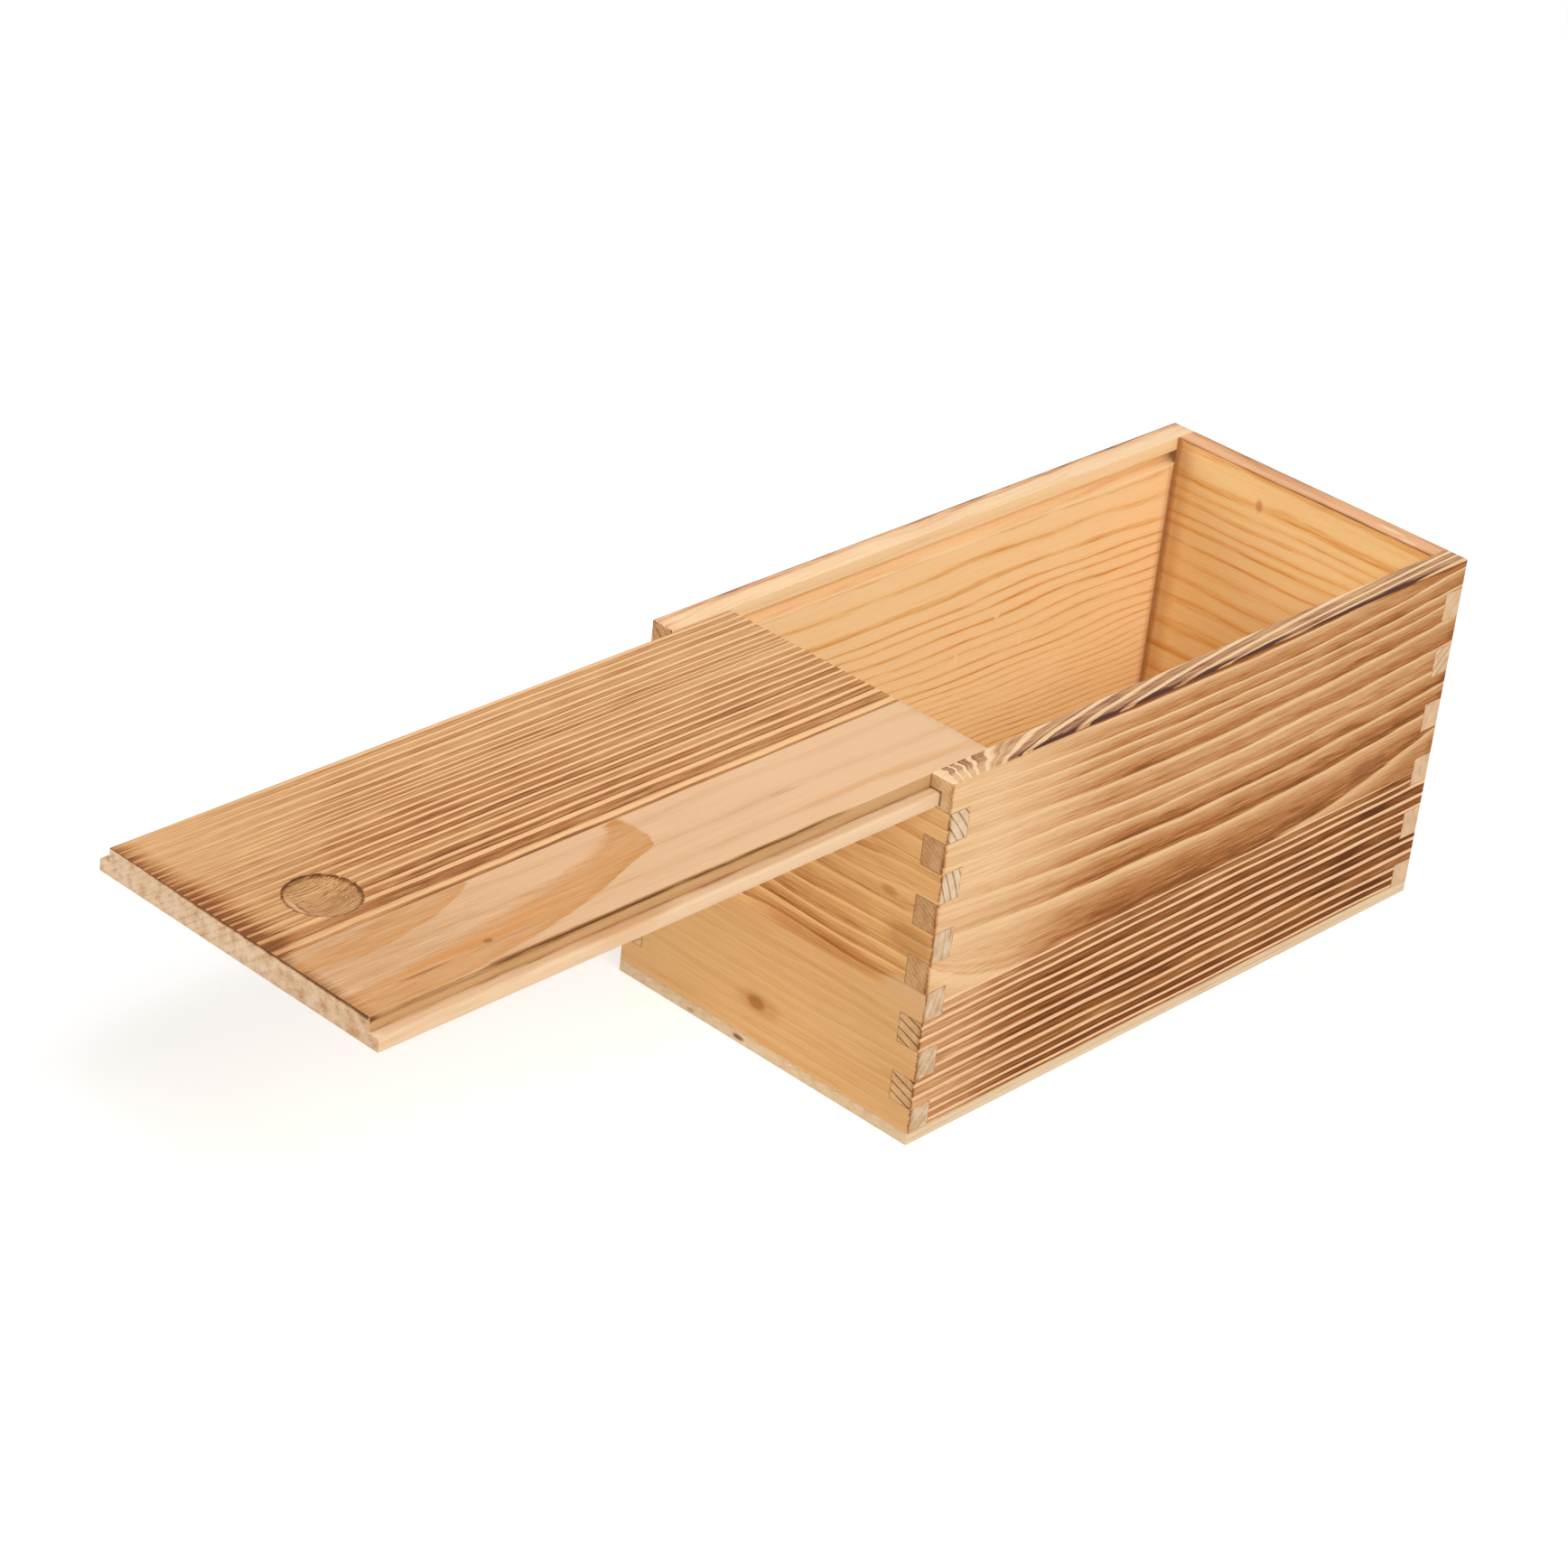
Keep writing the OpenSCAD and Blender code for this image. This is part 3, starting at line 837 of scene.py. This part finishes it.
dress(
    bottom_board,
    [
        # Raw planed pine, paler than the walls, with soft rings along the box.
        pine("planed_pine_bottom", RUN_Y, "rings", raw_profile, pale_pine, 0.42, 0.2, 0.09, lot=15, stains=[
            ((21.8, 50, 3.5), (2.4, 3.6, 3), "#8f5c30", 0.8),
            ((-7.3, -100, 1.6), (2.2, 3, 0.8), "#7a5230", 0.7),
        ]),
        # The same across the grain, with open pores and a small knot.
        end_grain("sawn_pine_bottom_ends", "rings", pale_pine, 0.12, 0.2, [
            ((-7.3, -100, 1.7), (1.6, 3, 0.6), "#6f4a2c", 0.85),
            ((-24, -100, 1.2), (1, 3, 0.4), "#a07a50", 0.6),
        ]),
    ],
    lambda face: np.where(abs(face.ny) > 0.75, 1, 0),
)
smooth(bottom_board)
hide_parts("bottom_board")
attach(bottom_board, "box")


# ---- Bottom brads ----
# Ten short steel nails, driven up through the bottom board into the walls. They are the frame's
# own piece, shown as it is, and only their heads can be seen, from below.

# Drawn steel: pale grey and shiny, with faint scratches along the wire.
steel, tree, place = start_material("bright_steel_brads")
scratch_size = (0.4, 0.4, 3.33)
scratch_scale = [1 / (size * mm) for size in scratch_size]
drawn = node(tree, "Mapping", {"Vector": place, "Scale": scratch_scale})[0]
scratches = node(tree, "TexNoise", {"Vector": drawn, "Scale": 1, "Detail": 3})[0]
steel_tone = node(tree, "ValToRGB", {"Fac": scratches})[0]
fill_ramp(tree, [(0.3, "#c9c7c2"), (0.7, "#9f9d99")])
steel_gloss = node(tree, "MapRange", {"Value": scratches, 3: 0.25, 4: 0.45})[0]
drawn_steel = node(tree, "BsdfPrincipled", {"Base Color": steel_tone, "Metallic": 1.0,
                                            "Roughness": steel_gloss})[0]
node(tree, "OutputMaterial", {"Surface": drawn_steel})
for nail_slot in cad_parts["bottom_brads"].material_slots:
    nail_slot.material = steel


# ---- Lid ----
# One board of two staves that slides in the grooves on a rebated tongue along each long edge. The
# wide stave was torched into ribs, the narrow one is nearly plain with an orange flame of heart
# wood, and a round finger recess is dished into the top near the pull end.

lid_low, lid_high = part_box("lid")
tongue_high = lid_low.z + 3.5 * mm
tongue_round = 0.9 * mm
field_half = 42.5 * mm
field_round = 0.4 * mm
recess_inset = 24 * mm
recess_depth = 2.2 * mm
recess_ball = 19.51 * mm
recess_middle = Vector((0, lid_low.y + recess_inset, lid_high.z + recess_ball - recess_depth))
glue_x = 14


def off_ball(x, y, z):
    """How far places lie from the ball that dishes the recess, in millimetres."""
    middle = recess_middle / mm
    return np.abs(np.hypot(np.hypot(x, y - middle.y), z - middle.z) - recess_ball / mm)


lid = start_board("lid_board", lid_low, lid_high, RUN_Y)
for place in (-field_half, -glue_x * mm, glue_x * mm, field_half):
    cut(RUN_X, place)
cut(UP, tongue_high)
select("FACE", lambda face: face.calc_center_median().z > tongue_high
       and abs(face.calc_center_median().x) > field_half)
bpy.ops.mesh.delete(type="FACE")
for corner_x, corner_z, offset in ((lid_high.x, tongue_high, tongue_round),
                                   (field_half, lid_high.z, field_round)):
    select("VERT", lambda point: abs(abs(point.co.x) - corner_x) < same
           and abs(point.co.z - corner_z) < same)
    bpy.ops.mesh.bevel(offset=offset, segments=5, affect="VERTICES")
bpy.ops.mesh.select_all(action="SELECT")
pull((0, lid_high.y - lid_low.y, 0))
bpy.ops.mesh.select_all(action="SELECT")
bpy.ops.mesh.normals_make_consistent(inside=False)
# Closer divisions round the finger recess keep its burnt rim narrow.
for n in range(28):
    cut(RUN_Y, lid_low.y + recess_inset + (0.8 * n - 11) * mm)
cut_finely(RUN_X, 0.42 * mm)
cut_finely(RUN_Y, 3 * mm)
cut_finely(UP, 0.9 * mm)
bpy.ops.object.mode_set(mode="OBJECT")
apply(lid, "seams", "BEVEL", width=0.15 * mm, segments=2, angle_limit=radians(50))

x, y, z = corners(lid).T
lid_top = lid_high.z / mm
pull_end = lid_low.y / mm
lid_half = (lid_high.y - lid_low.y) / 2 / mm
wide_ridges = straight([
    24.6, 30.6, 35.6, 38.9, 42.1, 44.4, 47.2, 49.9, 52.4, 55.3, 57.6, 59.9, 62.6, 64.6, 66.1, 67.3,
    68.9, 70.9, 73.2, 76.8, 79.4, 81.6, 84.1, 87.6,
])
press_grain(lid, ring_number(wide_ridges, y - pull_end - lid_half, field_half / mm - x, 0.3, 0, 0.08),
            stripe_profile, 0.14 * mm, (lid_top - z < 0.01) * (x < glue_x) * (x > -42), (UP, 1))

bpy.ops.object.select_all(action="DESELECT")
bpy.ops.mesh.primitive_uv_sphere_add(segments=128, ring_count=96, radius=recess_ball,
                                     location=recess_middle)
scoop = bpy.context.object
apply(lid, "finger_recess", "BOOLEAN", operation="DIFFERENCE", object=scoop, solver="EXACT")
bpy.data.objects.remove(scoop)

x, y, z = corners(lid).T
from_right = field_half / mm - x
from_pull = y - pull_end
lid_run = (from_pull - lid_half) * half_length / lid_half
lid_depth = lid_top - z
narrow_ridges = [(-22, -22, -26), (-3, -6, -7), (7, 5, 3.3), (15, 19, 13), (24, 27, 23.5), (33, 36, 33)]

# How far inside the two flames of heart wood each place is. Their outlines are a lower and an upper
# edge, from the field's right side, at some distances from the pull end.
flame_low = np.interp(from_pull, (0, 31, 50, 62.5, 75, 87.5, 97, 100),
                      (-2, 0.5, 2.7, 4.9, 8, 12.1, 14.6, 18.3))
flame_high = np.interp(from_pull, (0, 14, 31, 50, 66, 81, 91, 96),
                       (8, 9, 10.9, 13.6, 15.9, 19, 22.6, 29))
flame = np.minimum(1.5 * (from_right - flame_low), 0.17 * (flame_high + 1.5 - from_right))
flame = np.minimum(flame, 0.5 * (99.5 - from_pull))
spur_low = np.interp(from_pull, (0, 6, 15.6, 25, 37.5, 47, 52.5),
                     (21.5, 20.2, 18.6, 19.3, 21.5, 24.6, 27.4))
spur_high = np.interp(from_pull, (0, 18, 50), (25.5, 26, 34))
spur = np.minimum(1.5 * (from_right - spur_low), 0.3 * (spur_high - from_right))
spur = np.minimum(spur, 0.4 * (53 - from_pull))
from_edge = np.minimum(np.abs(from_right - flame_low), np.abs(from_right - spur_low))

# The flame went lightly over the pull end's first few centimetres and over the left side.
lid_heat = 0.22 + 0.78 * fade(from_pull, 10, 70)
lid_heat -= 0.3 * fade(from_right, 52, 70) * (1 - 0.5 * fade(from_pull, 40, 130))

# The scorch, in this order: the pull end, the field's right and left arrises, painted shade in
# the rebates' inner corners, the rib beside the glue line, and the top towards the pull end, but
# not the end face.
on_field = lid_depth < 2.1
near_top = lid_depth < 0.7
glue_from_right = field_half / mm - glue_x
burn_reach = np.interp(from_right, (28.4, 30, 62, 66, 86), (0.9, 9.5, 9.5, 7, 6))
from_corner = np.abs(np.abs(x) - field_half / mm) + np.abs(z - tongue_high / mm)
lid_burn_and_shade = 0.5 * (1 - fade(from_pull, 0, burn_reach)) * on_field
lid_burn_and_shade += 0.9 * near_top * fade(x, 42, 42.25) * fade(from_pull, 30, 40) * fade(150 - from_pull, 0, 12)
lid_burn_and_shade += 0.3 * fade(z, 99.4, 99.9) * fade(-x, 41.6, 42.2)
# Painted shade along the rebates' inner corners.
lid_burn_and_shade += 0.5 * (1 - fade(from_corner, 0.2, 0.8))
lid_burn_and_shade += 0.15 * (1 - fade(np.abs(from_right - 32.8), 1.2, 2.2)) * (lid_depth < 1.1)
lid_burn_and_shade += 0.32 * (1 - fade(from_pull, 10, 80)) * on_field
lid_burn_and_shade += np.where(from_right > glue_from_right, 0.1, 0.18) * (1 - fade(from_pull, 70, 160)) * on_field
lid_burn_and_shade = np.where((from_pull < 0.14) & (z < 99.9), 0.1, lid_burn_and_shade)

# In the recess: darker towards its far left side, which is painted shade on the dish's steep wall,
# and burnt round its rim, the burnt ring reaching further in on that shaded side.
from_recess = np.hypot(x, y - recess_middle.y / mm)
recess_shade_side = ((from_right - field_half / mm) + 0.5 * (from_pull - recess_inset / mm)) / 9
recess_burn_and_shade = 0.4 + 0.13 * recess_shade_side + 0.6 * fade(from_recess, 8.1 - 0.6 * recess_shade_side.clip(0), 8.9)

keep(
    lid,
    wide_rings=ring_number(wide_ridges, lid_run, from_right, 0.3, lid_depth, 0.08),
    narrow_rings=ring_number(narrow_ridges, lid_run, from_right, 0.5, lid_depth, 0.5),
    end_rings=ring_number(wide_ridges, lid_run, from_right, 1.3, lid_depth, 0.1),
    end_lines=1,
    heart=np.maximum(flame, spur),
    heart_strength=0.5 + 0.25 * fade(from_pull, 30, 95) + 0.25 * (1 - fade(from_edge, 0.5, 3)),
    torch=np.where(z < tongue_high / mm + 0.7, 1, lid_heat),
    scorch=np.where(off_ball(x, y, z) < 0.02, recess_burn_and_shade, lid_burn_and_shade),
)


def flame_of_heart(tree, place, colour, fibres):
    """Stains the pale stave with its orange heart wood, with an edge broken up by the fibres."""
    inside = node(tree, "Attribute", attribute_name="heart")["Fac"]
    ragged = node(tree, "Math", {0: fibres, 1: 1.0, 2: inside}, operation="MULTIPLY_ADD")[0]
    amount = node(tree, "MapRange", {"Value": ragged, 1: 0.4, 2: 0.9, 3: 0.0, 4: 1.0})[0]
    shown = node(tree, "Attribute", attribute_name="heart_strength")["Fac"]
    amount = node(tree, "Math", {0: amount, 1: shown}, operation="MULTIPLY")[0]
    orange = node(tree, "ValToRGB", {"Fac": fibres})[0]
    fill_ramp(tree, [(0.3, "#d39c62"), (0.5, "#c68c52"), (0.7, "#b5773f")])
    colour = node(tree, "Mix", {0: amount, 6: colour, 7: orange}, data_type="RGBA")[2]
    for mark in (((34.3, -235, 100), (0.9, 22, 3), "#cd8744", 0.6),
                 ((32, -215, 100), (0.7, 16, 3), "#cd8744", 0.5),
                 ((29.5, -206, 100), (0.5, 13, 3), "#cd8744", 0.4),
                 ((36, -118, 100), (0.9, 20, 3), "#d39a62", 0.45),
                 ((37.5, -94, 100), (0.8, 14, 3), "#d39a62", 0.4),
                 ((36.3, -252.2, 100), (0.35, 6, 3), "#9c5f2e", 0.7),
                 ((35.1, -232.7, 100), (0.7, 1, 3), "#8f5a2d", 0.7)):
        colour = stain(tree, place, colour, 0.0, *mark)
    return colour


wide_tones = [(0, "#ebbc89"), (0.25, "#d9aa78"), (0.5, "#c59464"), (0.75, "#ae7242"), (1, "#7c4824")]
narrow_tones = [(0, "#e1b890"), (0.3, "#d7ac84"), (0.6, "#c5986c"), (1, "#9c6c42")]
recess_tones = [(0, "#d8ac7e"), (0.35, "#c19161"), (0.65, "#98693f"), (1, "#5a3719")]
rebate_tones = [(0, "#c69c6c"), (0.35, "#b78b5c"), (0.7, "#9b6e44"), (1, "#63401f")]
tongue_tones = [(0, "#e2c09a"), (0.35, "#d5af87"), (0.7, "#b68860"), (1, "#7e5532")]
dress(
    lid,
    [
        # Torched and brushed pine: pale ribs over browned soft wood.
        pine("torched_pine_lid_wide", RUN_Y, "wide_rings", stripe_profile, wide_tones, 0.76, 0.1, 0.025,
             0.02, lot=16),
        # Hardly torched pine: pale, with an orange flame of heart wood, a dark streak and a pin knot.
        pine("torched_pine_lid_narrow", RUN_Y, "narrow_rings", raw_profile, narrow_tones, 0.22, 0.06,
             0.04, lot=17, extra=flame_of_heart, stains=[
                 ((28.2, -134.5, 100), (0.16, 4, 3), "#a8784c", 0.5),
                 ((27.5, -135.5, 100), (0.16, 3, 3), "#a8784c", 0.5),
             ]),
        # Raw planed pine underneath.
        pine("planed_pine_lid_underside", RUN_Y, "wide_rings", raw_profile, inside_tones, 0.5, lot=18),
        # Sawn end grain: pale, with faint ring lines.
        end_grain("sawn_pine_lid_ends", "end_rings",
                  [(0, "#e9cdb0"), (0.3, "#dcbc99"), (0.6, "#b98a5c"), (1, "#6b4428")], 0.1, 0.3),
        # The recess: wood cut across its fibres, so darker and rougher, with a burnt rim and painted
        # shade towards its far left side.
        pine("dished_pine_recess", RUN_Y, "wide_rings", raw_profile, recess_tones, 0.3, 0.2, 0.12, lot=19,
             stains=[
                 ((1.5, -256.2, 98.5), (1.6, 0.7, 3), "#e6bf94", 0.7),
                 ((-1.8, -255.6, 98.5), (1.2, 0.6, 3), "#e6bf94", 0.6),
                 ((0.5, -254.6, 98.5), (2.2, 0.4, 3), "#7a5028", 0.6),
             ]),
        # The rebate's wall, darker in the corner where shade is painted, and the pale tongue under it.
        pine("milled_pine_rebate", RUN_Y, "narrow_rings", raw_profile, rebate_tones, 0.2, lot=20),
        pine("milled_pine_tongue", RUN_Y, "narrow_rings", raw_profile, tongue_tones, 0.2, lot=21, stains=[
            ((44.2, -200, 96), (1.4, 12, 3), "#c98f55", 0.5),
            ((45, -82.5, 96), (1.5, 1.8, 3), "#68401f", 0.8),
        ]),
    ],
    lambda face: np.select(
        [abs(face.ny) > 0.75, face.nz < -0.5, off_ball(face.x, face.y, face.z) < 0.05,
         (abs(face.nx) > 0.75) & (face.z > tongue_high / mm - 0.1), face.z < tongue_high / mm + 0.1,
         face.x < glue_x],
        [3, 2, 4, 5, 6, 0], 1),
)
smooth(lid)
# The recess's edge stays sharp under the smooth shading.
bpy.ops.object.mode_set(mode="EDIT")
select("EDGE", lambda edge: all(abs((end.co - recess_middle).length - recess_ball) < 2 * same
                                and lid_high.z - end.co.z < 0.2 * mm for end in edge.verts))
bpy.ops.mesh.mark_sharp()
bpy.ops.object.mode_set(mode="OBJECT")
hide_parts("lid")
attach(lid, "lid")


# ---- Studio ----
# A plain white floor that keeps the object's shadow, soft lamps, and the photograph's angle.

bpy.ops.object.select_all(action="DESELECT")
bpy.ops.mesh.primitive_plane_add(size=12, location=(0, 0, cad_box[0].z))
floor = bpy.context.object
floor.name = "floor"
white_floor = bpy.data.materials.new("white_floor")
white_floor.use_nodes = True
tree = white_floor.node_tree
tree.nodes.clear()
lit = node(tree, "BsdfDiffuse", {"Color": (0.8, 0.8, 0.8, 1)})[0]
glow = node(tree, "Emission", {"Color": (1, 1, 1, 1), "Strength": 0.35})[0]
both = node(tree, "AddShader", {0: lit, 1: glow})[0]
ray = node(tree, "LightPath")
chosen = node(tree, "MixShader", {0: ray["Is Camera Ray"], 1: lit, 2: both})[0]
node(tree, "OutputMaterial", {"Surface": chosen})
floor.data.materials.append(white_floor)

world = bpy.data.worlds.new("studio")
bpy.context.scene.world = world
world.use_nodes = True
tree = world.node_tree
tree.nodes.clear()
ray = node(tree, "LightPath")
seen = node(tree, "Math", {0: ray["Is Camera Ray"], 1: ray["Is Glossy Ray"]}, operation="MAXIMUM")[0]
strength = node(tree, "MapRange", {"Value": seen, 3: 0.52, 4: 1.0})[0]
sky = node(tree, "Background", {"Color": (1, 1, 1, 1), "Strength": strength})[0]
node(tree, "OutputWorld", {"Surface": sky})

aim = Vector((-0.0139, -0.086, 0.0663))


def softbox(name, place, size, watts):
    """A square soft lamp that faces the object."""
    bpy.ops.object.light_add(type="AREA", location=place)
    lamp = bpy.context.object
    lamp.name = name
    lamp.data.size = size
    lamp.data.energy = watts
    lamp.rotation_euler = (aim - Vector(place)).to_track_quat("-Z", "Y").to_euler()


softbox("key_softbox", (1.3, -0.5, 1.5), 1.0, 26.5)
softbox("fill_softbox", (-1.2, -1.4, 1.0), 1.2, 13.5)

photo_azimuth = radians(40.8)
photo_elevation = radians(29.2)
photo_roll = radians(6.56)
camera_distance = 1.105
back = Vector((
    sin(photo_azimuth) * cos(photo_elevation),
    -cos(photo_azimuth) * cos(photo_elevation),
    sin(photo_elevation),
))
bpy.ops.object.camera_add(location=aim + camera_distance * back)
camera = bpy.context.object
turned = back.to_track_quat("Z", "Y").to_matrix() @ Matrix.Rotation(photo_roll, 3, "Z")
camera.rotation_euler = turned.to_euler()
camera.data.lens = 104
camera.data.sensor_width = 36
bpy.context.scene.camera = camera
bpy.context.scene.view_settings.view_transform = "Standard"
